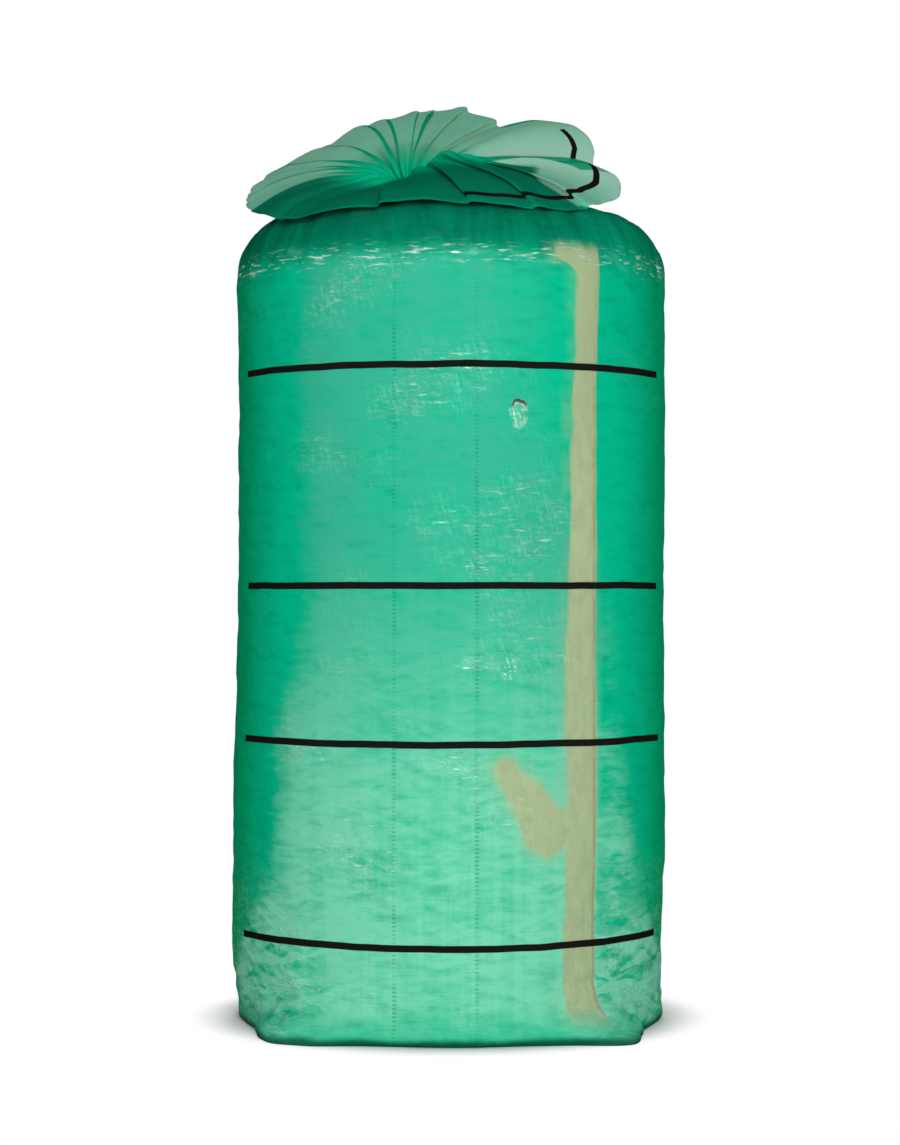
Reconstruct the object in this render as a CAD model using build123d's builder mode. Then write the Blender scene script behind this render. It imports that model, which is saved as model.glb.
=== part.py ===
"""Insulation roll: a faced glass-wool blanket, rolled up, standing on its end in a tied film bag.

Millimetres, +Z up. The origin is on the floor, under the roll's axis. The front of the bag looks along -Y.
Pieces: the rolled blanket, the film bag with its gathered mouth, and the tie round the bag's neck.
"""

import os
from math import cos, pi, radians, sin

from build123d import *

os.makedirs("parts", exist_ok=True)

# The blanket as it is sold, and the roll that it makes
blanket_width = 1200.0  # the height of the roll as it stands
blanket_length = 15000.0
roll_diameter = 636.0
eye_diameter = 60.0  # the open eye in the middle of the turns
shoulder_round = 84.0  # the soft wool rounds over where the bag is drawn in
shoulder_steps = 5  # straight slopes that make up that round
foot_bevel = 14.0  # and is only a little bevelled where it stands

# The spiral line between the turns, sunk into both ends
turn_line_width = 4.0
turn_line_depth = 6.0
turn_sides = 14  # straight stretches in one turn of the line

# The cut end of the blanket, where a slope of bare wool shows beside the facing's edge
tail_angle = -52.0  # degrees from +X, so it faces front and right
tail_width = 60.0
tail_step = 5.0

# The bag
film = 1.5  # wall of the film solid
bag_slack = 0.5  # room between the film and the roll
neck_x = -60.0  # the neck is gathered to the left of the roll's axis
neck_y = 0.0
neck_radius = 20.0
tent_sides = 40  # flat gathers of the drawn-in top
neck_rise = 32.0  # from the bag's flat top to the tie
tie_height = 12.0
tie_wall = 3.0

# The corners of film that the flat seam leaves at the bag's foot, front and back
corner_slant = 49.0  # degrees to either side of the front and of the back
corner_reach = 36.0
corner_knee = 12.0  # degrees from a corner's tip to where it has half that reach
corner_spread = 30.0  # and to where it is inside the round
corner_rise = 62.0

# The gathered mouth above the tie, one (reach, rise) for the ridge of each pleat, from +X towards +Y
mouth_ridges = [
    (262, 30), (308, 84), (295, 142), (258, 160), (248, 163), (245, 130), (252, 76), (256, 28),
    (248, -18), (246, -44), (271, -68), (293, -71), (300, -65), (322, -65), (338, -59), (333, -28),
]
mouth_inner = 12.0  # the pleats start inside the neck
mouth_root = -3.0
mouth_bends = 5  # straight stretches along a pleat
crest_rise = 52.0  # the film stands up out of the neck before it falls or spreads
pleat_depth = 7.0  # from a ridge down to the valley beside it, at the free edge

# Worked-out sizes
roll_radius = roll_diameter / 2
eye_radius = eye_diameter / 2
turn_pitch = pi * (roll_radius**2 - eye_radius**2) / blanket_length
roll_foot = film
roll_top = roll_foot + blanket_width
bag_radius = roll_radius + bag_slack + film
bag_top = roll_top + bag_slack + film
neck_base = bag_top + neck_rise
neck_top = neck_base + tie_height


def roll_outline(inner, outer, foot, top, grow=0.0):
    """Half the outline of the roll, or of the film round it, to turn about the axis."""
    round_over = shoulder_round + grow
    shoulder = []
    for step in range(shoulder_steps + 1):
        turned = pi / 2 * step / shoulder_steps
        shoulder.append((outer - round_over * (1 - cos(turned)), top - round_over * (1 - sin(turned))))
    with BuildSketch(Plane.XZ) as outline:
        with BuildLine():
            Polyline(
                (inner, foot),
                (outer - foot_bevel, foot),
                (outer, foot + foot_bevel),
                *shoulder,
                (inner, top),
                close=True,
            )
        make_face()
    return outline.sketch


def turn_line(z, widest):
    """The line between the turns at one end: a spiral band, one blanket's thickness further out each turn."""
    sides = int((widest - eye_radius - turn_pitch) / turn_pitch * turn_sides)
    inner_edge = []
    outer_edge = []
    for side in range(sides + 1):
        turns = side / turn_sides
        middle = eye_radius + turn_pitch * (1 + turns)
        towards = (cos(2 * pi * turns), sin(2 * pi * turns))
        for edge, shift in ((inner_edge, -turn_line_width / 2), (outer_edge, turn_line_width / 2)):
            edge.append(((middle + shift) * towards[0], (middle + shift) * towards[1]))
    with BuildSketch(Plane.XY.offset(z)) as band:
        with BuildLine():
            Polyline(*inner_edge, *outer_edge[::-1], close=True)
        make_face()
    return band.sketch


def flat_sided(outlines):
    """A solid closed by flat faces, one for each outline of points."""
    return Solid(Shell([Face(Wire.make_polygon(outline)) for outline in outlines]))


def tent(foot_radius, foot_height, neck_size, neck_height):
    """The film drawn in from the shoulder to the neck, as flat gathers round an oblique cone."""
    foot = []
    neck = []
    for side in range(tent_sides):
        angle = 2 * pi * side / tent_sides
        foot.append((foot_radius * cos(angle), foot_radius * sin(angle), foot_height))
        neck.append((neck_x + neck_size * cos(angle), neck_y + neck_size * sin(angle), neck_height))
    sides = [[foot[i - 1], foot[i], neck[i], neck[i - 1]] for i in range(tent_sides)]
    return flat_sided([foot, neck, *sides])


def foot_corner(direction, inset):
    """One folded corner of film at the foot: a low pyramid that leans against the wall.

    With an inset it is the room inside that corner.
    """
    end = bag_radius - foot_bevel - film - 2 * inset
    knee = bag_radius + corner_reach / 2 - 3 * inset
    tip = bag_radius + corner_reach - 3 * inset
    plan = [(-corner_spread, end), (-corner_knee, knee), (0, tip), (corner_knee, knee), (corner_spread, end)]
    foot = []
    for turn, out in plan:
        way = radians(direction + turn)
        foot.append((out * cos(way), out * sin(way), inset))
    way = radians(direction)
    lean = bag_radius - film - inset
    top = (lean * cos(way), lean * sin(way), corner_rise - 2 * inset)
    return flat_sided([foot, *([*pair, top] for pair in zip(foot, foot[1:] + foot[:1]))])


def mouth_fold(fold):
    """Points of the film along one fold, from inside the neck over the crest to the free edge.

    Even folds are ridges. Odd folds are valleys, halfway between their two ridges and lower.
    """
    ridges = len(mouth_ridges)
    reach_before, rise_before = mouth_ridges[fold // 2 % ridges]
    reach_after, rise_after = mouth_ridges[(fold + 1) // 2 % ridges]
    reach = (reach_before + reach_after) / 2
    rise = (rise_before + rise_after) / 2 - pleat_depth * (fold % 2)
    run = Bezier(
        (mouth_inner, mouth_root),
        (0.19 * reach, crest_rise + 0.1 * max(rise, 0)),
        (0.70 * reach, crest_rise + 0.55 * rise),
        (reach, rise),
    )

    angle = radians(180 / ridges * fold)
    points = []
    for bend in range(mouth_bends + 1):
        along = run @ (bend / mouth_bends)
        points.append((neck_x + along.X * cos(angle), neck_y + along.X * sin(angle), neck_top + along.Y))
    return points


def mouth_sheet():
    """The mouth's film: triangles between the folds, once below and once above its thickness."""
    folds = [mouth_fold(fold) for fold in range(2 * len(mouth_ridges))]
    outlines = []
    for before, after in zip(folds, folds[1:] + folds[:1]):
        for bend in range(mouth_bends):
            near, far = (before[bend], after[bend]), (before[bend + 1], after[bend + 1])
            for lift in (0, film):
                low_left, low_right = ((x, y, z + lift) for x, y, z in near)
                high_left, high_right = ((x, y, z + lift) for x, y, z in far)
                outlines.append([low_left, low_right, high_right])
                outlines.append([low_left, high_right, high_left])
        for end in (0, mouth_bends):
            left, right = before[end], after[end]
            raised = [(x, y, z + film) for x, y, z in (right, left)]
            outlines.append([left, right, *raised])
    return flat_sided(outlines)


# The rolled blanket: one turned solid with its eye, its turns lined on both ends
with BuildPart() as blanket_roll:
    revolve(roll_outline(eye_radius, roll_radius, roll_foot, roll_top), axis=Axis.Z)

    foot_line = turn_line(roll_foot, roll_radius - foot_bevel)
    extrude(foot_line, amount=turn_line_depth, mode=Mode.SUBTRACT)
    top_line = turn_line(roll_top, roll_radius - shoulder_round)
    extrude(top_line, amount=-turn_line_depth, mode=Mode.SUBTRACT)

    tail_plane = Plane.XY.offset(roll_foot).rotated((0, 0, tail_angle))
    with BuildSketch(tail_plane):
        with BuildLine():
            Polyline(
                (roll_radius + tail_step, tail_width / 2),
                (roll_radius - tail_step, tail_width / 2),
                (roll_radius, -tail_width / 2),
                close=True,
            )
        make_face()
    extrude(amount=blanket_width, mode=Mode.SUBTRACT)
blanket_roll.part.label = "blanket_roll"

# The bag: a film sleeve round the roll, drawn in over its top to the neck, and its mouth above the tie
with BuildPart() as bag:
    revolve(roll_outline(0, bag_radius, 0, bag_top, film), axis=Axis.Z)
    corners = [middle + side * corner_slant for middle in (-90, 90) for side in (-1, 1)]
    for corner in corners:
        add(foot_corner(corner, 0))

    add(tent(bag_radius - shoulder_round - film, bag_top, neck_radius, neck_base))
    with Locations((neck_x, neck_y, neck_base)):
        Cylinder(neck_radius, tie_height, align=(Align.CENTER, Align.CENTER, Align.MIN))

    inner_radius = bag_radius - film
    inner_top = bag_top - film
    revolve(roll_outline(0, inner_radius, roll_foot, inner_top), axis=Axis.Z, mode=Mode.SUBTRACT)
    for corner in corners:
        add(foot_corner(corner, film), mode=Mode.SUBTRACT)
    room = tent(inner_radius - shoulder_round, inner_top, neck_radius - film, neck_base - film)
    add(room, mode=Mode.SUBTRACT)

    add(mouth_sheet())
bag.part.label = "bag"

# The tie, drawn tight round the gathered neck
with BuildPart() as neck_tie:
    with BuildSketch(Plane.XY.offset(neck_base)):
        with Locations((neck_x, neck_y)):
            Circle(neck_radius + tie_wall)
            Circle(neck_radius, mode=Mode.SUBTRACT)
    extrude(amount=tie_height)
neck_tie.part.label = "neck_tie"

for piece in (blanket_roll, bag, neck_tie):
    print(piece.part.label, len(piece.part.solids()), round(piece.part.volume), piece.part.is_valid)
    export_step(piece.part, f"parts/{piece.part.label}.step")
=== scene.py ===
"""Looks of an insulation roll: a faced glass-wool blanket, rolled up, on its end in a green film bag.

Metres, +Z up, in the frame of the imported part. The blanket's spiral and the tie are made by Geometry Nodes.
The bag is one closed film: foot, wall, shoulder, drawn-in top, neck and the spread mouth, folded by formulas.
"""

from math import pi, radians, tau
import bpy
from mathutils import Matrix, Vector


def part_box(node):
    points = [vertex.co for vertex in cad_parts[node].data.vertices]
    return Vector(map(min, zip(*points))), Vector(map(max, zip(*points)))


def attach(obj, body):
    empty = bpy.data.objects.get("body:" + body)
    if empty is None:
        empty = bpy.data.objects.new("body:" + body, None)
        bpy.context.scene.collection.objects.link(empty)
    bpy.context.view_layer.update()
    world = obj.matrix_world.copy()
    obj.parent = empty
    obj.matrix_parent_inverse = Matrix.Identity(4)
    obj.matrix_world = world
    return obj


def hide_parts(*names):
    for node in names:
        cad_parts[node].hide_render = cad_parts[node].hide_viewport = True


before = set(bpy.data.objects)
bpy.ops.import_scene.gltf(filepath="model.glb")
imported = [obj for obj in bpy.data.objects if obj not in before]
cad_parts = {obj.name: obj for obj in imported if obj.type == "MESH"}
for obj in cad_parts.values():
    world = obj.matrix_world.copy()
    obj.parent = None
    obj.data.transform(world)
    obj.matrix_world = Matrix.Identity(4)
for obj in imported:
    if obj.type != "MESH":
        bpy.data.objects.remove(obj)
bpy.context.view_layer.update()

from types import SimpleNamespace

import bpy
import numpy as np
from bpy.props import FloatProperty, FloatVectorProperty, IntProperty, PointerProperty
from bpy.types import Operator, Panel, PropertyGroup
from mathutils import Vector, noise

bl_info = {
    "name": "Insulation Roll",
    "version": (1, 0, 0),
    "blender": (4, 5, 0),
    "location": "View3D > Sidebar > Insulation Roll",
    "description": "Rolled glass-wool blanket in a green film bag with a gathered mouth",
    "category": "Object",
}

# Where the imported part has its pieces
ROLL_LOW, ROLL_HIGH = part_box("blanket_roll")
TIE_LOW, TIE_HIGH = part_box("neck_tie")
BAG_RADIUS = -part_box("bag")[0].y
ROLL_RADIUS = (ROLL_HIGH.y - ROLL_LOW.y) / 2
NECK = (TIE_LOW + TIE_HIGH) / 2
NECK_TOP = np.array([NECK.x, NECK.y, TIE_HIGH.z])
TIE_RADIUS = (TIE_HIGH.y - TIE_LOW.y) / 2
FILM_TOP = ROLL_HIGH.z + 0.002  # the film lies this little above the wool
NECK_RADIUS = TIE_RADIUS - 0.0052  # the neck is drawn in under the twine

# The film is laid out in metres: across from the middle of the front, and up from the foot along the film
FILM_MAP = "film"
COLUMNS = 360

# Heights on the film: bands, how often they come round again, the crumpled foot, and the roll's top edge
BANDS = (0.139, 0.426, 0.650)
BAND_REPEAT = 0.8225
CRUMPLED = 0.17
TOP_EDGE = 1.118

# Places on the film, right of the front and up: the tuft of wool, the blister and the tear
TUFT_TIP = (radians(14.0), 0.388)
TUFT_ROOT = (radians(25.5), 0.306)
BLISTER = (radians(17.6), 0.892)
TEAR = (radians(14.5), 0.534)

# Two upright lines of small marks on the facing: right of the front, and from mark to mark
MARKED_LINES = (radians(-14.3), radians(6.8))
MARK_STEP = 0.0058

# The free edge of the mouth: degrees from +X about the neck, reach from the neck, rise above the tie
MOUTH_EDGE = [
    (-47.4, 0.340, -0.062), (-31.5, 0.325, -0.043), (-21.0, 0.334, -0.025), (-15.7, 0.332, 0.004),
    (-9.5, 0.302, 0.025), (4.6, 0.250, 0.032), (19.3, 0.302, 0.050), (23.4, 0.315, 0.090),
    (28.3, 0.316, 0.114), (34.0, 0.300, 0.133), (45.0, 0.295, 0.144), (56.0, 0.260, 0.128),
    (72.0, 0.260, 0.171), (90.0, 0.248, 0.163), (113.0, 0.245, 0.130), (150.0, 0.260, 0.040),
    (180.0, 0.248, -0.020), (204.0, 0.245, -0.046), (232.0, 0.280, -0.070), (251.0, 0.296, -0.060),
    (270.0, 0.300, -0.054), (291.0, 0.321, -0.057),
]

# Knife folds that run out to the free edge: degrees from +X about the neck, half width in degrees
MOUTH_FOLDS = [
    (59.0, 1.5), (70.0, 1.7), (82.0, 2.3), (88.0, 1.3), (100.0, 1.7), (109.0, 1.4),
    (126.0, 1.8), (146.0, 1.8), (170.0, 2.0), (196.0, 1.8), (228.0, 1.8), (262.0, 1.5),
    (286.0, 1.9), (303.0, 1.5), (322.0, 1.8),
]

# Where the film falls straight from the neck, and where it stands up: degrees, half width, height
MOUTH_DIPS = [(246.0, 34.0, 0.036), (205.0, 20.0, 0.010)]
MOUTH_PETALS = [(311.0, 13.0, 0.026), (337.0, 10.0, 0.020), (281.0, 9.0, 0.010), (222.0, 9.0, 0.008)]


class Wire:
    """An output socket that takes part in Python arithmetic by making Math nodes."""

    def __init__(self, graph, socket):
        self.graph = graph
        self.socket = socket

    def output(self, name):
        """Another output of the same node."""
        return Wire(self.graph, self.socket.node.outputs[name])

    def __add__(self, other):
        return self.graph.math("ADD", self, other)

    def __radd__(self, other):
        return self.graph.math("ADD", other, self)

    def __sub__(self, other):
        return self.graph.math("SUBTRACT", self, other)

    def __rsub__(self, other):
        return self.graph.math("SUBTRACT", other, self)

    def __mul__(self, other):
        return self.graph.math("MULTIPLY", self, other)

    def __rmul__(self, other):
        return self.graph.math("MULTIPLY", other, self)

    def __truediv__(self, other):
        return self.graph.math("DIVIDE", self, other)

    def __neg__(self):
        return self.graph.math("MULTIPLY", self, -1.0)

    def __abs__(self):
        return self.graph.math("ABSOLUTE", self)


class Graph:
    """Makes the nodes of one material or of one Geometry Nodes tree."""

    def __init__(self, tree):
        self.tree = tree

    def node(self, kind, settings=None, sockets=None, output=0):
        """A node of this kind: its settings are set first, then the values or links of its sockets."""
        made = self.tree.nodes.new(kind)
        for name, value in (settings or {}).items():
            setattr(made, name, value)
        for name, value in (sockets or {}).items():
            if isinstance(value, Wire):
                self.tree.links.new(value.socket, made.inputs[name])
            else:
                made.inputs[name].default_value = value
        return Wire(self, made.outputs[output]) if made.outputs else None

    def math(self, operation, *values):
        """A Math node."""
        return self.node("ShaderNodeMath", {"operation": operation}, dict(enumerate(values)))

    def clamp(self, value):
        return self.node("ShaderNodeClamp", None, {"Value": value})

    def smooth(self, value, low, high):
        """0 at low, 1 at high, eased between them."""
        sockets = {"Value": value, "From Min": low, "From Max": high}
        return self.node("ShaderNodeMapRange", {"interpolation_type": "SMOOTHSTEP"}, sockets)

    def between(self, value, start, full, fading, end):
        """0 up to start, 1 from full to fading, 0 again from end, eased between them."""
        return self.smooth(value, start, full) * self.smooth(value, end, fading)

    def mix(self, share, first, second):
        """From the first colour to the second."""
        return self.node("ShaderNodeMix", {"data_type": "RGBA"}, {0: share, 6: first, 7: second}, 2)

    def split(self, vector):
        """The three parts of a vector or a colour."""
        x = self.node("ShaderNodeSeparateXYZ", None, {0: vector})
        return x, x.output("Y"), x.output("Z")

    def join(self, x, y, z):
        return self.node("ShaderNodeCombineXYZ", None, {"X": x, "Y": y, "Z": z})

    def noise(self, vector, scale, detail=2.0, roughness=0.5):
        """Smooth noise from about 0 to 1."""
        sockets = {"Vector": vector, "Scale": scale, "Detail": detail, "Roughness": roughness}
        return self.node("ShaderNodeTexNoise", None, sockets)

    def streaks(self, x, y, seed, detail=2.0, roughness=0.5):
        """Noise laid out on two values, each with its own scale already in it."""
        return self.noise(self.join(x, y, seed), 1.0, detail, roughness)

    def bump(self, height, strength):
        """A normal bent by a height, where 1 stands for 4 mm."""
        sockets = {"Strength": strength, "Distance": 0.004, "Height": height}
        return self.node("ShaderNodeBump", None, sockets)

    def most(self, *values):
        """The largest of these values."""
        largest = values[0]
        for value in values[1:]:
            largest = self.math("MAXIMUM", largest, value)
        return largest


# Settings


def length_setting(name, description, default):
    """A length that can be changed, in metres."""
    return FloatProperty(name=name, description=description, default=default, unit="LENGTH")


def angle_setting(name, description, degrees):
    """An angle that can be changed."""
    return FloatProperty(name=name, description=description, default=radians(degrees), subtype="ANGLE")


def colour_setting(name, description, colour):
    """A colour that can be changed."""
    return FloatVectorProperty(
        name=name, description=description, default=(*colour, 1.0), size=4, subtype="COLOR"
    )


class BlanketSettings(PropertyGroup):
    """The rolled blanket."""

    length: length_setting("Length", "Blanket length", 15.0)
    eye: length_setting("Eye", "Radius of the open eye", 0.030)
    shoulder: length_setting("Shoulder", "Round of the wool at the top", 0.084)
    bevel: length_setting("Foot bevel", "Bevel of the wool at the foot", 0.014)
    tail_angle: angle_setting("Tail", "Where the wool ends, right of the front", 30.8)
    facing_angle: angle_setting("Facing edge", "Where the facing ends, right of the front", 40.6)
    wool: colour_setting("Wool", "Bare glass wool", (0.60, 0.58, 0.34))
    facing: colour_setting("Facing", "Foil facing", (0.55, 0.60, 0.57))


class BagSettings(PropertyGroup):
    """The film bag."""

    shoulder: length_setting("Shoulder", "Round of the film over the roll's top", 0.0855)
    foot: length_setting("Foot", "Round at the foot", 0.008)
    pleats: IntProperty(name="Pleats", description="Folds round the mouth", default=23)
    gathers: IntProperty(name="Gathers", description="Folds on the drawn-in top", default=34)
    mouth_length: length_setting("Mouth", "Film above the tie", 0.310)
    mouth_slant: length_setting("Mouth slant", "More film above the tie on the right", 0.028)
    mouth_wall: length_setting("Mouth wall", "Thickness of the mouth's film", 0.0007)
    band: length_setting("Band", "Height of a band", 0.0100)
    band_reach: length_setting("Band reach", "From the middle of the front to a band's end", 0.384)
    ink: colour_setting("Ink", "Printed bands", (0.010, 0.009, 0.008))
    deep: colour_setting("Deep green", "Film over facing that lies in the dark", (0.001, 0.500, 0.270))
    # Side green: painted shade, the film round the sides darker where less light falls
    side: colour_setting("Side green", "Film round the sides", (0.001, 0.400, 0.165))
    shade: colour_setting("Shaded green", "Film over the drawn-in top", (0.001, 0.200, 0.105))
    loose: colour_setting("Loose film", "Film of the open mouth", (0.002, 0.520, 0.268))
    # Mint and pale mint: film over bright facing, with the front light's reflection on the foil painted in
    mint: colour_setting("Mint", "Film over bright facing, at the top", (0.040, 0.452, 0.289))
    pale_mint: colour_setting("Pale mint", "Film over bright facing, at the foot", (0.190, 0.690, 0.450))
    seen_wool: colour_setting("Seen wool", "Bare wool seen through the film", (0.490, 0.615, 0.342))
    cut_edge: colour_setting("Cut edge", "Facing's cut edge, seen through the film", (0.300, 0.270, 0.130))
    # Stressed film: whitened creases with painted glints, also the painted glints on the blister and the tear
    whitening_and_glint: colour_setting("Stressed film", "Whitened creases in the film", (0.62, 0.88, 0.76))
    scorch: colour_setting("Browned rim", "Rim of the blister", (0.075, 0.035, 0.022))


class TieSettings(PropertyGroup):
    """The tie round the neck."""

    turns: IntProperty(name="Turns", description="Turns round the neck", default=3)
    thickness: length_setting("Thickness", "Twine diameter", 0.0038)
    colour: colour_setting("Colour", "Twine", (0.06, 0.30, 0.22))


class StageSettings(PropertyGroup):
    """Camera, lights and floor."""

    distance: length_setting("Distance", "Camera from the roll's axis", 4.294)
    height: length_setting("Height", "Camera height", 0.650)
    lens: FloatProperty(name="Lens", description="Focal length", default=89.04, unit="CAMERA")
    rise: FloatProperty(name="Rise", description="Vertical shift of the lens", default=0.0114)
    key: FloatProperty(name="Key", description="Power of the key light", default=140.0, unit="POWER")
    side: FloatProperty(name="Side", description="Power of the left light", default=6.0, unit="POWER")
    back: FloatProperty(name="Back", description="Power of the back light", default=110.0, unit="POWER")
    fill: FloatProperty(name="Fill", description="Strength of the surrounding light", default=0.24)


SETTINGS = {
    "roll_blanket": BlanketSettings,
    "roll_bag": BagSettings,
    "roll_tie": TieSettings,
    "roll_stage": StageSettings,
}


# Materials


def new_material(name):
    """An empty material, and the graph that fills it."""
    material = bpy.data.materials.new(name)
    material.use_nodes = True
    material.node_tree.nodes.clear()
    return material, Graph(material.node_tree)


def darker(colour, share):
    """This share of a colour."""
    return (*(share * part for part in colour[:3]), 1.0)


def finish_surface(graph, **sockets):
    """The Principled shader with these sockets, joined to the material's output."""
    named = {name.replace("_", " ").title(): value for name, value in sockets.items()}
    if "Specular Ior Level" in named:
        named["Specular IOR Level"] = named.pop("Specular Ior Level")
    surface = graph.node("ShaderNodeBsdfPrincipled", None, named)
    graph.node("ShaderNodeOutputMaterial", None, {"Surface": surface})


def wool_window(graph, angle, height, grow=0.0):
    """Where bare wool shows: the strip between the two cut edges, and a tuft pulled out of it to the left.

    The angle is in radians to the right of the front, the height in metres. The outline can grow.
    """
    blanket = bpy.context.scene.roll_blanket
    wider = grow / BAG_RADIUS
    place = graph.join(angle * 3.0, height * 3.2, 0.0)
    wander = graph.noise(place, 4.0, 4.0, 0.6) - 0.5
    slow = graph.streaks(0.0, height * 4.0, 5.0) - 0.5
    left = blanket.tail_angle + 0.045 * graph.smooth(height, 0.45, 1.0) + wander * 0.07 + slow * 0.05
    left = left - 0.11 * graph.smooth(height + wander * 0.03, TOP_EDGE - 0.023, TOP_EDGE) - wider
    right = blanket.facing_angle + slow * 0.02 + wider
    top = TOP_EDGE + 0.012 + grow + wander * 0.03
    inside = graph.smooth(angle, right + 0.006, right - 0.006)
    inside = inside * graph.between(height, 0.015 - grow, 0.060 - grow, top - 0.010, top + 0.014)
    haze = graph.smooth(angle, left - 0.085, left)
    thinning = graph.smooth(graph.streaks(angle * 9.0, height * 14.0, 2.0, 3.0), 0.38, 0.66)
    strip = graph.smooth(angle, left - 0.014, left + 0.016)
    strip = strip + (1.0 - strip) * haze * thinning * 0.22

    # A soft tuft pulled out of it to the left: it runs from its tip down and right, and widens
    run = ((TUFT_ROOT[0] - TUFT_TIP[0]) * BAG_RADIUS, TUFT_ROOT[1] - TUFT_TIP[1])
    x = (angle - TUFT_TIP[0]) * BAG_RADIUS
    y = height - TUFT_TIP[1]
    along = graph.clamp((x * run[0] + y * run[1]) / (run[0] ** 2 + run[1] ** 2))
    x = x - along * run[0]
    y = y - along * run[1]
    away = graph.math("SQRT", x * x + y * y) - 0.020 * along + wander * 0.030
    tuft = 0.85 * graph.smooth(away, 0.026 + grow, 0.010 + grow) + 0.15 * graph.smooth(away, 0.045, 0.020)
    return graph.most(strip, tuft) * inside


def wool_material():
    """Glass wool with its foil facing on the outside of each turn."""
    blanket = bpy.context.scene.roll_blanket
    material, graph = new_material("faced_wool")
    place = graph.node("ShaderNodeTexCoord", None, None, "Object")
    x, y, z = graph.split(place)
    angle = graph.math("ARCTAN2", x, -y)
    facing = graph.node("ShaderNodeAttribute", {"attribute_name": "facing"}, None, "Fac")
    bare = graph.most(wool_window(graph, angle, z, 0.02), 1.0 - graph.smooth(facing, 0.4, 0.6))

    fibres = graph.noise(place, 90.0, 5.0, 0.7)
    clumps = graph.noise(place, 14.0, 3.0, 0.6)
    dark_wool = darker(blanket.wool, 0.72)
    wool = graph.mix(graph.smooth(fibres * 0.6 + clumps * 0.5, 0.35, 0.75), dark_wool, blanket.wool)
    colour = graph.mix(bare, blanket.facing, wool)
    finish_surface(
        graph,
        base_color=colour,
        roughness=0.35 + 0.6 * bare,
        metallic=0.5 - 0.5 * bare,
        normal=graph.bump(fibres + clumps, 0.5),
    )
    return material


def film_bands(graph, across, up, mouth):
    """Plain printed bands across the front of the film. The pattern comes round again along the film."""
    bag = bpy.context.scene.roll_bag
    wobble = 0.005 * (graph.streaks(across * 9.0, up * 3.0, 3.0) - 0.5)
    nearest = None
    for first in BANDS:
        from_band = up + wobble - first
        whole = graph.math("ROUND", from_band / BAND_REPEAT) * BAND_REPEAT
        distance = abs(from_band - whole)
        nearest = distance if nearest is None else graph.math("MINIMUM", nearest, distance)
    half = bag.band / 2
    band = graph.smooth(nearest, half + 0.0005, half - 0.0005)
    from_left = across + bag.band_reach - (bag.band_reach + 0.085) * mouth
    from_right = bag.band_reach + 0.012 + 0.28 * mouth - across
    return band * graph.smooth(from_left, -0.002, 0.002) * graph.smooth(from_right, -0.002, 0.002)


def seam_dots(graph, angle, up):
    """Two upright rows of small marks on the facing, seen through the film."""
    along = graph.math("FRACT", up / MARK_STEP)
    mark = 0.12 + 0.88 * graph.between(along, 0.02, 0.15, 0.42, 0.55)
    stray = 0.012 * (graph.streaks(0.0, up * 240.0, 2.0) - 0.5)
    rows = None
    for place in MARKED_LINES:
        row = graph.smooth(abs(angle + stray - place), 0.0120, 0.0060)
        rows = row if rows is None else rows + row
    worn = 0.25 + 0.75 * graph.smooth(graph.noise(graph.join(angle, up * 9.0, 1.0), 2.0, 3.0), 0.40, 0.60)
    return mark * rows * worn * graph.smooth(up, 1.10, 1.05)


def film_spot(graph, angle, up, place, size):
    """How far a point lies from a small damaged place: 0 in its middle, 1 at its ragged edge."""
    x = (angle - place[0]) * (BAG_RADIUS / size[0])
    y = (up - place[1]) / size[1]
    ragged = graph.streaks(angle * 40.0, up * 130.0, 6.0) - 0.5
    return graph.math("SQRT", x * x + y * y) + ragged * 0.4


def facing_and_painted_reflection(graph, angle, up):
    """Where bright facing shows through, with the front light's reflection on the foil painted in: the front,
    wider towards the foot, its edges ragged and level.
    """
    ragged = graph.streaks(angle * 6.0, up * 105.0, 0.0, 3.0, 0.7) - 0.5
    patches = graph.streaks(angle * 2.6, up * 9.0, 4.0, 3.0, 0.6) - 0.5
    turned = angle + ragged * 0.20 + patches * 0.26
    left = -0.68 - 0.16 * graph.smooth(up, 0.60, 0.42) - 0.50 * graph.smooth(up, 0.27, 0.06)
    right = 0.32 + 0.50 * graph.smooth(up, 0.98, 0.55) + 0.20 * graph.smooth(up, 0.50, 0.22)
    right = right + 0.50 * graph.smooth(up, 0.22, 0.05)
    soft = 0.08 + 0.14 * graph.smooth(up, 0.60, 0.90)
    front = graph.smooth(turned - left, -0.10, 0.10) * graph.smooth(right - turned, -soft, soft)
    beyond = graph.smooth(angle, 0.68, 0.76) * graph.smooth(up, 0.10, 0.24)
    front = front * (1.0 - beyond * graph.smooth(patches + ragged * 0.5, 0.16, -0.10))
    behind = graph.smooth(abs(angle), 1.7, 2.1)
    back = behind * graph.smooth(patches + ragged * 0.4, -0.02, 0.12)
    return graph.most(front, back * 0.8)


def film_wrinkles(graph, across, up, fineness, seed):
    """Thin lines of crumpled film, longer in the level than upright, some faint and some strong."""
    place = graph.join(across * fineness, up * fineness * 2.6, seed)
    ridge = 1.0 - abs(2.0 * graph.noise(place, 1.0, 3.0, 0.55) - 1.0)
    strength = graph.smooth(graph.noise(place, 0.8, 2.0, 0.5), 0.38, 0.68)
    return graph.smooth(ridge, 0.92, 1.0) * strength


def film_facets(graph, across, up, slant, seed):
    """Facets of crumpled film: long cells, each lighter or darker as it is turned to the light."""
    warp = graph.streaks(across * 30.0, up * 30.0, seed, 1.0)
    level = (up + across * slant) * 115.0 + warp * 3.0
    place = graph.join(across * 13.0 + warp * 0.9 + seed, level, 0.0)
    cells = graph.node(
        "ShaderNodeTexVoronoi",
        {"feature": "SMOOTH_F1", "voronoi_dimensions": "2D"},
        {"Vector": place, "Scale": 1.0, "Smoothness": 0.35},
        "Color",
    )
    return graph.split(cells)[0]


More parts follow.
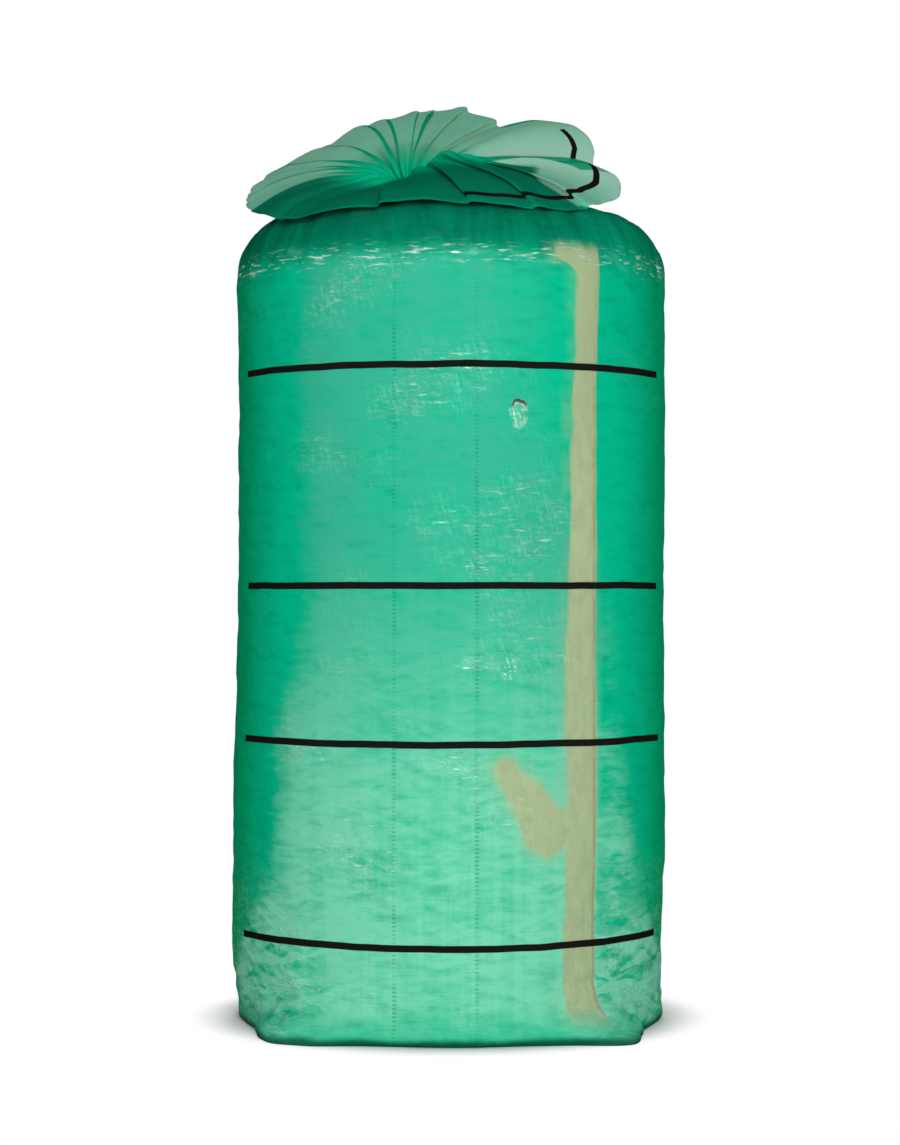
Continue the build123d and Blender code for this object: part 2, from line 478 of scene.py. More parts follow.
def film_ground(graph, neck_up):
    """The place on the film, and the patterns that its looks are drawn from."""
    across, up, _ = graph.split(graph.node("ShaderNodeUVMap", {"uv_map": FILM_MAP}))
    film = SimpleNamespace(across=across, up=up, above=up - neck_up, angle=across / BAG_RADIUS)
    film.aside = abs(film.angle)
    film.mouth = graph.smooth(up, neck_up - 0.02, neck_up)
    film.on_body = 1.0 - film.mouth
    film.window = wool_window(graph, film.angle, up) * film.on_body
    # film.light: the bright facing, with a painted reflection of the front light on the foil
    film.light = facing_and_painted_reflection(graph, film.angle, up) * graph.between(up, -0.02, 0.07, 1.095, 1.135)

    # Level striations, soft upright columns and crumpled patches
    film.fine = graph.streaks(across * 16.0, up * 300.0, 0.0, 2.0, 0.65)
    film.hair = graph.streaks(across * 14.0, up * 760.0, 1.0, 1.0, 0.7)
    film.upright = graph.streaks(across * 420.0, up * 9.0, 2.0, 1.0, 0.7)
    film.strokes = graph.streaks(across * 32.0, up * 190.0, 6.0, 2.0, 0.6)
    film.columns = graph.smooth(graph.streaks(film.angle * 7.0, up * 0.7, 3.0, 3.0, 0.6), 0.40, 0.60)
    film.clusters = graph.streaks(across * 5.0, up * 9.0, 7.0, 3.0, 0.6)
    film.broad = graph.streaks(across * 6.0, up * 11.0, 5.0, 3.0, 0.6)
    film.wander = graph.streaks(across * 9.0, 0.0, 2.0, 3.0) - 0.5
    film.crumple = graph.streaks(across * 18.0, up * 40.0, 0.0, 4.0, 0.62)
    # An offset copy of the crumples: their difference paints light and shade on the crumpled relief
    beside = graph.streaks(across * 18.0 + 0.10, up * 40.0 + 0.35, 0.0, 4.0, 0.62)
    film.relief = film.crumple - beside
    rising = film_facets(graph, across, up, 0.30, 4.0)
    falling = film_facets(graph, across, up, -0.22, 8.0)
    film.facets = rising * 0.5 + falling * 0.5 - 0.5

    # Where it is rumpled: in patches, along the roll's top edge, and at the foot's corners
    film.edge = graph.smooth(abs(up + film.wander * 0.05 - TOP_EDGE), 0.024, 0.004)
    film.corners = graph.smooth(up + film.wander * 0.1, 0.30, 0.08) * graph.smooth(film.aside, 0.45, 0.85)
    film.patches = graph.smooth(film.clusters, 0.52, 0.70) * (0.10 + 0.90 * film.light)
    wide = film_wrinkles(graph, across, up, 22.0, 3.0)
    film.thin = film_wrinkles(graph, across, up, 52.0, 9.0)
    crease = graph.most(wide * 0.75, film.thin) * graph.most(film.patches, film.corners)
    # Strokes along the roll's top edge join the creases, later whitened as painted glints
    film.crease = graph.most(crease, graph.smooth(film.strokes, 0.54, 0.68) * film.edge)

    # Fine ripples, steep and level, and the blister
    level = graph.streaks(across * 55.0, up * 190.0, 9.0, 2.0, 0.6)
    steep = graph.streaks(across * 210.0 + up * 60.0, up * 34.0, 9.0, 2.0, 0.6)
    film.ripples = graph.smooth(level * 0.45 + steep * 0.55, 0.48, 0.66)
    film.blister = film_spot(graph, film.angle, up, BLISTER, (0.014, 0.021))
    return film


def film_glints(graph, film):
    """How far the film is whitened by painted glints: on creases, where the film is also whitened, in flecks,
    in soft pale patches and in fine ripples.
    """
    # Painted glints: white flecks, soft pale patches, and fine ripples over the bright facing
    flecks = graph.smooth(film.strokes, 0.60, 0.74) * graph.smooth(film.clusters, 0.50, 0.66) * film.light
    soft_glint = graph.smooth(film.crumple, 0.52, 0.80) * graph.most(film.patches, film.edge, film.corners)
    painted_ripple_glints = film.ripples * graph.smooth(film.clusters, 0.44, 0.62) * film.light
    glint = film.crease * (0.28 + 0.42 * film.edge) + soft_glint * 0.16 + painted_ripple_glints * 0.12 + flecks * 0.50
    return graph.clamp(glint)


def film_green(graph, film, bag):
    """The film's green: painted shade round the sides, at the top and in its folds; mint over bright facing
    with a painted reflection.
    """
    up, angle = film.up, film.angle
    # Painted shade: the film round the sides darkens to the side green
    colour = graph.mix(graph.between(film.aside, 0.85, 1.30, 1.90, 2.20), bag.deep, bag.side)
    shaded = graph.smooth(up, 1.09, 1.15) * (0.95 - 0.35 * graph.smooth(angle, 0.4, 0.9))
    colour = graph.mix(shaded, colour, bag.shade)
    # Painted shade in the gathers of the top and in the hollows of the crumples
    warp = graph.streaks(angle * 2.2, up * 3.0, 1.0) * 3.0
    gathers = graph.streaks(angle * 9.0 + warp, up * 6.0, 1.0, 3.0, 0.6)
    gathers = graph.smooth(abs(gathers - 0.5), 0.12, 0.0) * graph.smooth(up, 1.07, 1.16) * film.on_body
    painted_hollow_shade = graph.clamp(film.relief * -1.6)
    colour = graph.mix(gathers * 0.24 + painted_hollow_shade * 0.5, colour, darker(bag.shade, 0.35))

    # How much of the bright facing shows, with painted light and shade on its crumples and facets
    tone = 0.84 + 0.34 * (film.fine - 0.5) + 0.22 * (film.columns - 0.5) + 0.5 * (film.crumple - 0.5)
    tone = tone + 0.8 * (film.broad - 0.5) + 0.9 * film.relief
    tone = tone + 0.50 * (film.hair - 0.5) + 0.24 * (film.upright - 0.5)
    tone = tone + film.facets * (0.40 + 0.6 * film.patches + 1.9 * film.corners) + 0.10 * film.corners
    bright = graph.mix(graph.smooth(up, 0.75, 0.20), bag.mint, bag.pale_mint)
    colour = graph.mix(graph.clamp(tone * film.light), colour, bright)
    return graph.mix(seam_dots(graph, angle, up) * 0.5, colour, bag.shade)


def film_over_wool(graph, film, bag, colour):
    """Bare wool seen through the film, and the cut edge of the facing beside it."""
    wool_tone = graph.streaks(film.across * 70.0, film.up * 26.0, 8.0, 4.0, 0.65)
    wool_tone = wool_tone - 0.15 * graph.smooth(film.up, 0.80, 1.00)
    dull_wool = darker(bag.seen_wool, 0.88)
    wool = graph.mix(graph.smooth(wool_tone, 0.35, 0.65), dull_wool, bag.seen_wool)
    colour = graph.mix(film.window, colour, wool)
    blanket = bpy.context.scene.roll_blanket
    cut = graph.smooth(abs(film.angle - blanket.facing_angle + 0.012), 0.014, 0.002)
    cut = cut * film.window * graph.smooth(wool_tone, 0.35, 0.55)
    return graph.mix(cut * 0.55, colour, bag.cut_edge)


def film_damage(graph, film, bag, colour):
    """A blister with a browned rim and painted glints on it, and a small tear with a painted shine of the
    foil.
    """
    # Painted glints on the blister and its ring, and a painted shine where the tear shows the foil
    ring = graph.between(film.blister, 0.55, 0.85, 0.95, 1.10) * graph.smooth(film.crumple, 0.40, 0.60)
    blister_glint = graph.smooth(film.blister, 1.0, 0.6) * (0.12 + 0.7 * film.ripples)
    tear = film_spot(graph, film.angle, film.up, TEAR, (0.016, 0.022))
    shine = graph.smooth(tear, 1.0, 0.4) * graph.smooth(film.ripples + film.thin, 0.2, 0.9)
    damage_glint = graph.most(ring * 0.45 + blister_glint, shine * 0.8)
    colour = graph.mix(graph.clamp(damage_glint), colour, bag.whitening_and_glint)
    brown = graph.between(film.blister, 0.76, 0.84, 0.98, 1.06)
    brown = brown * graph.smooth(film.up, BLISTER[1] + 0.008, BLISTER[1] + 0.014)
    return graph.mix(brown * 0.9, colour, bag.scorch)


def film_material(neck_up):
    """Thin green film: clear over bare wool, dense over the facing, lighter where the facing is bright, with
    painted shade, glints and reflection.
    """
    bag = bpy.context.scene.roll_bag
    material, graph = new_material("green_film")
    film = film_ground(graph, neck_up)
    glint = film_glints(graph, film)
    colour = film_over_wool(graph, film, bag, film_green(graph, film, bag))
    colour = film_damage(graph, film, bag, graph.mix(glint, colour, bag.whitening_and_glint))

    # The gathered film is dense at the neck and on the doubled front flap, and clear at the open edge. The
    # neck and the flap take the shaded green as painted shade, the standing petals the loose green as painted
    # light.
    angle, above, mouth = film.angle, film.above, film.mouth
    tip = graph.smooth(above, 0.21, 0.27) * graph.smooth(angle, 0.70, 0.90)
    flap = graph.smooth(angle, -1.45, -1.15) * graph.smooth(angle + tip * 0.5, 1.26, 1.08)
    open_film = graph.smooth(above, 0.05, 0.16) * (1.0 - 0.95 * flap)
    petals = graph.between(above, 0.02, 0.05, 0.10, 0.20)
    dense = graph.mix(graph.most(open_film, petals), bag.shade, bag.loose)
    colour = graph.mix(mouth, colour, dense)
    # Painted glints on the mouth's creases
    colour = graph.mix(mouth * film.crease * 0.20, colour, bag.whitening_and_glint)
    clear = graph.between(angle, 0.95, 1.35, 1.9, 2.3)
    on_mouth = 0.985 - (0.33 + 0.17 * clear) * open_film
    on_body = 0.985 - 0.20 * film.window

    # The foot darkened by a painted contact shadow, and the printed bands over everything
    painted_contact_shadow = graph.smooth(film.up + film.wander * 0.02, 0.016, 0.005)
    colour = graph.mix(painted_contact_shadow * 0.9, colour, darker(bag.shade, 0.35))
    band = film_bands(graph, film.across, film.up, mouth)
    colour = graph.mix(band, colour, bag.ink)
    height = film.fine * 0.12 + film.crumple + film.crease * 0.8
    height = height + graph.smooth(film.blister, 1.0, 0.2) * 1.5
    finish_surface(
        graph,
        base_color=colour,
        roughness=0.22 + 0.20 * film.crumple + 0.25 * band,
        metallic=graph.clamp(0.35 * glint * film.on_body * (1.0 - band) * (1.0 - film.window)),
        alpha=graph.most(on_body + (on_mouth - on_body) * mouth, band * 0.98),
        specular_ior_level=0.0,
        normal=graph.bump(height, 0.55),
    )
    return material


def twine_material():
    """Green twine with darker strands."""
    tie = bpy.context.scene.roll_tie
    material, graph = new_material("tie_plastic")
    place = graph.node("ShaderNodeTexCoord", None, None, "Object")
    strands = graph.noise(place, 600.0, 2.0)
    colour = graph.mix(strands, darker(tie.colour, 0.5), tie.colour)
    finish_surface(graph, base_color=colour, roughness=0.5)
    return material


# Geometry Nodes


def grown_piece(name, build, numbers, material):
    """A plain mesh made by a Geometry Nodes tree with these named numbers as its inputs."""
    tree = bpy.data.node_groups.new(name, "GeometryNodeTree")
    for label, value in numbers.items():
        kind = "NodeSocketInt" if isinstance(value, int) else "NodeSocketFloat"
        tree.interface.new_socket(label, in_out="INPUT", socket_type=kind)
    tree.interface.new_socket("Geometry", in_out="OUTPUT", socket_type="NodeSocketGeometry")
    graph = Graph(tree)
    start = tree.nodes.new("NodeGroupInput")
    shape = build(graph, {label: Wire(graph, start.outputs[label]) for label in numbers})
    shape = graph.node("GeometryNodeRealizeInstances", None, {"Geometry": shape})
    shape = graph.node("GeometryNodeSetMaterial", None, {"Geometry": shape, "Material": material})
    graph.node("NodeGroupOutput", None, {"Geometry": shape})

    piece = bpy.data.objects.new(name, bpy.data.meshes.new(name))
    bpy.context.scene.collection.objects.link(piece)
    modifier = piece.modifiers.new(name, "NODES")
    modifier.node_group = tree
    for item in tree.interface.items_tree:
        if item.in_out == "INPUT":
            modifier[item.identifier] = numbers[item.name]
    ready = piece.evaluated_get(bpy.context.evaluated_depsgraph_get())
    mesh = bpy.data.meshes.new_from_object(ready)
    piece.modifiers.remove(modifier)
    piece.data = mesh
    mesh.name = name
    mesh.polygons.foreach_set("use_smooth", [True] * len(mesh.polygons))
    return piece


def spiral_blanket(graph, size):
    """A ribbon of blanket wound clockwise outwards, its thickness thinned on the last turn.

    The grid runs along the blanket in x and round its cross-section in y: outside, top, inside, foot.
    """
    grid = graph.node(
        "GeometryNodeMeshGrid",
        None,
        {"Size X": 1.0, "Size Y": 1.0, "Vertices X": size["Along"], "Vertices Y": size["Around"]},
    )
    place = graph.node("GeometryNodeInputPosition")
    x, y, _ = graph.split(place)
    along = x + 0.5
    around = (y + 0.5) * 4.0
    outside = graph.clamp(around)
    top = graph.clamp(around - 1.0)
    inside = graph.clamp(around - 2.0)
    foot = graph.clamp(around - 3.0)
    upward = outside - inside
    over = 0.5 - 0.5 * graph.math("COSINE", top * pi)
    under = 0.5 - 0.5 * graph.math("COSINE", foot * pi)
    outward = 1.0 - over + under

    turn = along * size["Turns"]
    angle = size["Tail Angle"] + (size["Turns"] - turn) * tau
    last = graph.clamp(turn - size["Turns"] + 1.0)
    from_end = (1.0 - along) * size["Length"]
    from_start = along * size["Length"]
    # Both cut ends taper off, and a narrow gap is left between the turns
    to_tail, to_eye = graph.clamp(from_end / size["Tail Slope"]), graph.clamp(from_start / 0.05)
    taper = graph.math("MINIMUM", to_tail, to_eye)
    thick = size["Pitch"] * 0.95 * (1.0 - size["Squeeze"] * last) * taper
    radius = size["Eye Radius"] + size["Pitch"] * turn + thick * outward

    swell = size["Swell"] * (0.55 + 0.9 * (graph.noise(graph.join(along * 90.0, 0.0, 0.0), 1.0) - 0.5))
    rim = graph.clamp((radius - size["Roll Radius"] + size["Shoulder"]) / size["Shoulder"])
    drop = size["Shoulder"] * (1.0 - graph.math("SQRT", 1.0 - rim * rim))
    bevel = graph.most(radius - size["Roll Radius"] + size["Bevel"], 0.0)
    low = size["Foot"] + bevel + size["Swell"]
    high = size["Top"] - drop - size["Swell"]
    height = low + (high - low) * upward
    height = height + swell * graph.math("SINE", top * pi) - swell * graph.math("SINE", foot * pi)

    cosine = graph.math("COSINE", angle)
    sine = graph.math("SINE", angle)
    on_wool = graph.smooth(from_end, size["Tail Slope"], size["Tail Slope"] * 1.05)
    facing = (1.0 - top) * on_wool
    marked = graph.node(
        "GeometryNodeStoreNamedAttribute",
        {"data_type": "FLOAT", "domain": "POINT"},
        {"Geometry": grid, "Name": "facing", "Value": facing},
    )
    placed = graph.node(
        "GeometryNodeSetPosition",
        None,
        {"Geometry": marked, "Position": graph.join(radius * cosine, radius * sine, height)},
    )
    closed = graph.node("GeometryNodeMergeByDistance", None, {"Geometry": placed, "Distance": 0.00002})
    return graph.node("GeometryNodeFlipFaces", None, {"Mesh": closed})


def wound_twine(graph, size):
    """Twine wound round the neck, one turn above the other."""
    coil = graph.node(
        "GeometryNodeCurveSpiral",
        None,
        {
            "Resolution": 48,
            "Rotations": size["Turns"],
            "Start Radius": size["Radius"],
            "End Radius": size["Radius"],
            "Height": size["Rise"],
        },
    )
    section = graph.node(
        "GeometryNodeCurvePrimitiveCircle", None, {"Resolution": 10, "Radius": size["Thickness"] * 0.5}
    )
    twine = graph.node(
        "GeometryNodeCurveToMesh", None, {"Curve": coil, "Profile Curve": section, "Fill Caps": True}
    )
    shift = graph.join(size["Neck X"], size["Neck Y"], size["Foot"])
    return graph.node("GeometryNodeTransform", None, {"Geometry": twine, "Translation": shift})


# The film bag


def lumps(points, size, seed=0.0):
    """Smooth noise from about -1 to 1 at each point, with lumps of this size."""
    shift = Vector((7.3 * seed, 3.1 * seed, 5.9 * seed))
    flat = points.reshape(-1, 3) / size
    values = [noise.noise(Vector(point) + shift) for point in flat]
    return np.array(values).reshape(points.shape[:-1])


def eased(value, low, high):
    """0 at low, 1 at high, eased between them."""
    share = np.clip((value - low) / (high - low), 0.0, 1.0)
    return share * share * (3.0 - 2.0 * share)


def grid_normals(points):
    """The side that a grid of rings faces, with columns anticlockwise seen from above and rows upwards."""
    across = np.roll(points, -1, axis=1) - np.roll(points, 1, axis=1)
    up = np.gradient(points, axis=0)
    normal = np.cross(across, up)
    return normal / np.maximum(np.linalg.norm(normal, axis=2, keepdims=True), 1e-12)


def directions(angle):
    """Level unit vectors at these angles."""
    return np.stack([np.cos(angle), np.sin(angle), 0 * angle], axis=1)


def degrees_from(degrees, place):
    """How far these angles lie from a place on the circle, from -180 to 180 degrees."""
    return np.mod(degrees - place + 180.0, 360.0) - 180.0


def fold_wave(phase):
    """A wave of straight flanks with soft ridges, from -1 to 1."""
    return np.arcsin(0.94 * np.sin(phase)) / np.arcsin(0.94)


def column_angles():
    """Angles of the film's columns from the back, anticlockwise, closer together at the mouth's folds."""
    fine = np.linspace(90.0, 450.0, 7201)
    density = np.ones_like(fine)
    for place, width in MOUTH_FOLDS:
        density += 2.0 * np.exp(-((degrees_from(fine, place) / (2.2 * width)) ** 2))
    total = np.concatenate([[0.0], np.cumsum((density[1:] + density[:-1]) / 2)])
    steps = np.arange(COLUMNS) / COLUMNS * total[-1]
    return np.radians(np.interp(steps, total, fine))


def film_profile(bag):
    """Rings of the bag from its foot to its neck.

    Each has its radius, its height, its share of the neck's offset and its place along the film.
    """
    wall = BAG_RADIUS - 0.0005
    top = FILM_TOP
    rings = []
    for share in np.linspace(0.12, 1.0, 9):
        rings.append((share * (wall - bag.foot), 0.0, 0.0))
    for turn in np.linspace(0.0, pi / 2, 6)[1:]:
        rings.append((wall - bag.foot * (1 - np.sin(turn)), bag.foot * (1 - np.cos(turn)), 0.0))
    crumpled = np.linspace(bag.foot, CRUMPLED, 36)[1:]
    plain = np.linspace(CRUMPLED, 1.0, 63)[1:]
    folded = np.linspace(1.0, top - bag.shoulder, 21)[1:]
    for height in (*crumpled, *plain, *folded):
        rings.append((wall, height, 0.0))
    for turn in np.linspace(0.0, pi / 2, 13)[1:]:
        rings.append((wall - bag.shoulder * (1 - np.cos(turn)), top - bag.shoulder * (1 - np.sin(turn)), 0.0))
    for share in np.linspace(0.0, 1.0, 26)[1:]:
        inner = wall - bag.shoulder
        rings.append((inner + (NECK_RADIUS - inner) * share, top + (TIE_LOW.z - top) * share, share))
    for height in np.linspace(TIE_LOW.z, TIE_HIGH.z, 5)[1:]:
        rings.append((NECK_RADIUS, height, 1.0))
    radius, height, share = np.array(rings).T
    step = np.hypot(np.diff(radius), np.diff(height))
    up = np.concatenate([[0.0], np.cumsum(step)])
    on_wall = int(np.argmax(height > 0.5))
    return radius, height, share, up - up[on_wall] + height[on_wall]


def bag_body(bag, angle):
    """Points of the bag from its foot to its neck, and the place of each ring along the film."""
    radius, height, share, up = film_profile(bag)
    circle = directions(angle)
    points = radius[:, None, None] * circle[None]
    points[..., 0] += share[:, None] * NECK.x
    points[..., 1] += share[:, None] * NECK.y
    points[..., 2] += height[:, None]
    normal = grid_normals(points)
    z = points[..., 2]
    on_wall = (up > 0.0)[:, None] * (share == 0.0)[:, None]

    # Soft lumps and dents of the wool under the film, and level folds of the film itself
    push = 0.0028 * lumps(points, 0.17, 1) + 0.0016 * lumps(points, 0.055, 2)
    push += 0.0014 * lumps(points * np.array([1.0, 1.0, 2.6]), 0.062, 4) * eased(z, 0.0, 0.02)
    # The roll leans out a little high on the right and low on the left
    push += 0.0045 * np.clip(np.cos(angle), 0, 1)[None] ** 2 * eased(z, 0.10, 0.30) * eased(z, 1.20, 1.10)
    leftward = np.clip(-np.cos(angle), 0, 1) ** 2
    push += 0.0075 * leftward[None] * eased(z, 0.70, 0.25) * eased(z, 0.0, 0.10)
    # The film is crumpled at the foot, most of all at the corners that its flat seam leaves
    slant = np.degrees(np.arctan2(np.abs(np.cos(angle)), np.abs(np.sin(angle))))
    corner = np.exp(-(((slant - 41.0) / 14.0) ** 2))
    low = eased(z, CRUMPLED, 0.02)
    squashed = points * np.array([1.0, 1.0, 1.9])
    push += low * eased(z, 0.0, 0.012) * (0.0028 + 0.0040 * corner[None]) * lumps(squashed, 0.045, 3)
    ridged = 1.0 - 3.0 * np.abs(lumps(squashed, 0.060, 12))
    push += low * eased(z, 0.0, 0.012) * (0.0012 + 0.0036 * corner[None]) * ridged
    # Folds that run slanting over the shoulder
    ridged = 1.0 - 3.0 * np.abs(lumps(points * np.array([1.0, 1.0, 0.6]), 0.085, 13))
    push += 0.0022 * eased(z, 1.02, 1.10) * ridged
    # Gathers that start on the shoulder
    phase = bag.gathers * angle + 1.4 * np.sin(2 * angle + 0.7) + 1.1 * np.sin(3 * angle + 2.0)
    strength = 0.65 + 0.35 * np.sin(5 * angle + 1.0)
    start = eased(up, 1.09, 1.24)[:, None] * (share == 0.0)[:, None]
    push += 0.0032 * start * strength[None] * fold_wave(phase)[None] * eased(up, 1.35, 1.20)[:, None]
    points += (push * on_wall)[..., None] * normal
    spread = 0.062 * corner[None] * eased(z, 0.085, 0.0) ** 2 * (1.0 + 0.25 * lumps(squashed, 0.05, 11))
    spread = spread * (radius > 0.9 * (BAG_RADIUS - bag.foot))[:, None] * (share == 0.0)[:, None]
    points += spread[..., None] * circle[None]
    points[..., 2] = np.maximum(points[..., 2], 0.0)

    # The drawn-in top: deeper gathers, kept above the wool
    room = np.minimum(0.0085, 0.85 * (height - ROLL_HIGH.z - 0.001)) * (share > 0) * (share < 1)
    points[..., 2] += room[:, None] * strength[None] * fold_wave(phase)[None]
    neck = (share == 1.0)[:, None] * 0.0010 * fold_wave(phase)[None]
    points[..., :2] += neck[..., None] * circle[None, :, :2]
    return points, up


def round_curve(angle, places, values):
    """Values at some places round a circle, carried smoothly to every angle, all in degrees."""
    order = np.argsort(np.mod(places, 360))
    near = np.mod(places, 360)[order]
    kept = np.asarray(values)[order]
    fine = np.arange(0, 360, 1.0)
    line = np.interp(fine, np.concatenate([near - 360, near, near + 360]), np.tile(kept, 3))
    weights = np.exp(-0.5 * (np.arange(-9, 10) / 2.6) ** 2)
    smooth = np.convolve(np.concatenate([line[-9:], line, line[:9]]), weights / weights.sum(), "valid")
    return np.interp(np.mod(angle, 360), np.append(fine, 360.0), np.append(smooth, smooth[0]))


def top_surface(bag, x, y):
    """Height of the drawn-in top and the shoulder under a point."""
    wall = BAG_RADIUS
    inner = wall - bag.shoulder
    top = FILM_TOP
    out = np.hypot(x, y)
    # How far up the slanting cone to the neck its outline passes over the point
    slope = inner - TIE_RADIUS
    a = slope**2 - NECK.x**2
    b = inner * slope - NECK.x * x
    c = inner**2 - out**2
    share = np.clip((b - np.sqrt(np.maximum(b * b - a * c, 0.0))) / a, 0.0, 1.0)
    tent = top + (TIE_LOW.z - top) * share + 0.006 * eased(share, 0.0, 0.3)
    over = np.clip((out - inner) / bag.shoulder, 0.0, 1.0)
    shoulder = top - bag.shoulder * (1.0 - np.sqrt(1.0 - over**2))
    surface = np.where(out < inner, tent, shoulder)
    return np.where(out > wall + 0.004, 0.0, surface)


def sum_of_bumps(degrees, bumps):
    """Soft bumps round a circle, each with its place and half width in degrees and its height."""
    total = 0 * degrees
    for place, width, height in bumps:
        total = total + height * np.exp(-((degrees_from(degrees, place) / width) ** 2))
    return total


def bag_mouth(bag, angle):
    """The middle of the mouth's film, from the tie to its free edge: rings, and their share of the way."""
    share = np.linspace(0.0, 1.0, 42)
    degrees = np.degrees(angle)
    places, reaches, rises = (np.array(column) for column in zip(*MOUTH_EDGE))
    reach = round_curve(degrees, places, reaches)
    rise = round_curve(degrees, places, rises)
    ripple = directions(angle)
    reach = reach + 0.004 * lumps(ripple, 0.11, 5) + 0.003 * lumps(ripple, 0.05, 6)

    s = share[:, None]
    first, second, third, fourth = (1 - s) ** 3, 3 * s * (1 - s) ** 2, 3 * s * s * (1 - s), s**3
    radius = first * NECK_RADIUS + second * 0.19 * reach + third * 0.70 * reach + fourth * reach
    # The film falls straight from the neck at the front left, and stands up in petals at the front right
    crest = 0.052 - sum_of_bumps(degrees, MOUTH_DIPS)
    height = second * (crest + 0.10 * np.maximum(rise, 0)) + third * (crest + 0.55 * rise) + fourth * rise
    height = height + np.exp(-(((s - 0.29) / 0.12) ** 2)) * sum_of_bumps(degrees, MOUTH_PETALS)[None]

    # Knife folds lap the film over itself
    turned = angle[None] + 0.30 * np.exp(-radius / 0.05)
    layer = 0 * radius
    flat_edge = 1.0 - 0.65 * eased(s, 0.82, 1.0)
    for place, width in MOUTH_FOLDS:
        x = (degrees_from(degrees, place) / width)[None]
        lapped = x * np.exp(0.5 - 0.5 * x * x) * eased(s, 0.04, 0.25) * flat_edge
        turned = turned - radians(1.55 * width) * lapped
        layer = layer + 0.0030 * x * np.exp(-0.25 * x * x) * eased(s, 0.04, 0.35)
    points = np.stack([radius * np.cos(turned), radius * np.sin(turned), height], axis=2)

    # Small pleats out of the neck, gone before the free edge
    phase = bag.pleats * angle + 1.5 * np.sin(2 * angle + 0.4) + 1.2 * np.sin(3 * angle + 2.1)
    strength = np.clip(0.62 + 0.55 * lumps(ripple, 0.55, 8), 0.15, 1.0)
    depth = (0.0022 + 0.0050 * eased(s, 0.0, 0.20)) * (1.0 - 0.88 * eased(s, 0.22, 0.75)) * strength[None]
    lap = radius / (2 * bag.pleats) * 1.7 * (1.0 - eased(s, 0.15, 0.60)) * strength[None]
    plain = np.stack([radius * np.cos(angle), radius * np.sin(angle), height], axis=2)
    upward = -grid_normals(plain)
    around = np.stack([-np.sin(angle), np.cos(angle), 0 * angle], axis=1)[None]
    points = points + (layer + depth * np.sin(phase)[None])[..., None] * upward
    points = points - (lap * np.sin(2 * phase)[None])[..., None] * around
    # Loose waves and small crumples
    wave = 0.010 * s * lumps(plain, 0.13, 9) + 0.0016 * lumps(plain, 0.045, 10) * eased(s, 0.0, 0.2)
    points = points + wave[..., None] * upward

    # The mouth lies on the top and the shoulder, and doesn't sink into them
    points += NECK_TOP
    floor = top_surface(bag, points[..., 0], points[..., 1]) + 0.0035
    points[..., 2] = np.where(s > 0.08, np.maximum(points[..., 2], floor), points[..., 2])
    return points, share


def film_mesh(name, angle, rings, up, poles):
    """A closed mesh through rings of points, with a point at each end, laid out in metres of film."""
    rows = len(rings)
    verts = np.concatenate([[poles[0]], rings.reshape(-1, 3), [poles[1]]])
    row = np.arange(rows - 1)[:, None] * COLUMNS + 1
    here = np.arange(COLUMNS)[None]
    there = (here + 1) % COLUMNS
    quads = np.stack([row + here, row + there, row + COLUMNS + there, row + COLUMNS + here], axis=2)
    quads = quads.reshape(-1, 4).tolist()
    foot = np.stack([0 * here[0], 1 + there[0], 1 + here[0]], axis=1).tolist()
    last = 1 + (rows - 1) * COLUMNS
    cap = np.stack([last + here[0], last + there[0], 0 * here[0] + len(verts) - 1], axis=1).tolist()
    mesh = bpy.data.meshes.new(name)
    mesh.from_pydata(verts.tolist(), [], quads + foot + cap)

    left = (angle - 1.5 * pi) * BAG_RADIUS
    right = np.append(left[1:], pi * BAG_RADIUS)
    after = np.roll(up, -1, axis=1)
    corners = ((left, up[:-1]), (right, after[:-1]), (right, after[1:]), (left, up[1:]))
    laid = np.stack([np.stack([0 * v + u[None], v], axis=2) for u, v in corners], axis=2).reshape(-1, 2)
    middle = (left + right) / 2
    ends = []
    for edge, order in ((up[0, 0], (middle, right, left)), (up[-1, 0], (left, right, middle))):
        ends.append(np.stack([np.stack([u, 0 * u + edge], axis=1) for u in order], axis=1).reshape(-1, 2))
    layer = mesh.uv_layers.new(name=FILM_MAP)
    layer.data.foreach_set("uv", np.concatenate([laid, *ends]).astype(np.float32).ravel())
    mesh.polygons.foreach_set("use_smooth", [True] * len(mesh.polygons))
    mesh.update()
    return mesh


# Operators


class ROLL_OT_blanket(Operator):
    """Winds the blanket up into its roll"""

    bl_idname = "roll.blanket"
    bl_label = "Blanket"

    def execute(self, context):
        blanket = context.scene.roll_blanket
        squeeze = 0.72  # how much thinner the last turn gets towards its end
        radius = ROLL_RADIUS - 0.0015  # clear of the film
        pitch = pi * (radius**2 - blanket.eye**2) / blanket.length
        turns = (radius - blanket.eye) / pitch - (1.0 - squeeze)
        numbers = {
            "Along": 820,
            "Around": 29,
            "Turns": turns,
            "Length": blanket.length,
            "Pitch": pitch,
            "Squeeze": squeeze,
            "Eye Radius": blanket.eye,
            "Roll Radius": radius,
            "Tail Angle": blanket.tail_angle - pi / 2,
            "Tail Slope": (blanket.facing_angle - blanket.tail_angle) * radius,
            "Foot": ROLL_LOW.z,
            "Top": ROLL_HIGH.z,
            "Shoulder": blanket.shoulder,
            "Bevel": blanket.bevel,
            "Swell": 0.006,
        }
        roll = grown_piece("blanket", spiral_blanket, numbers, wool_material())
        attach(roll, "root")
        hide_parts("blanket_roll")
        return {"FINISHED"}


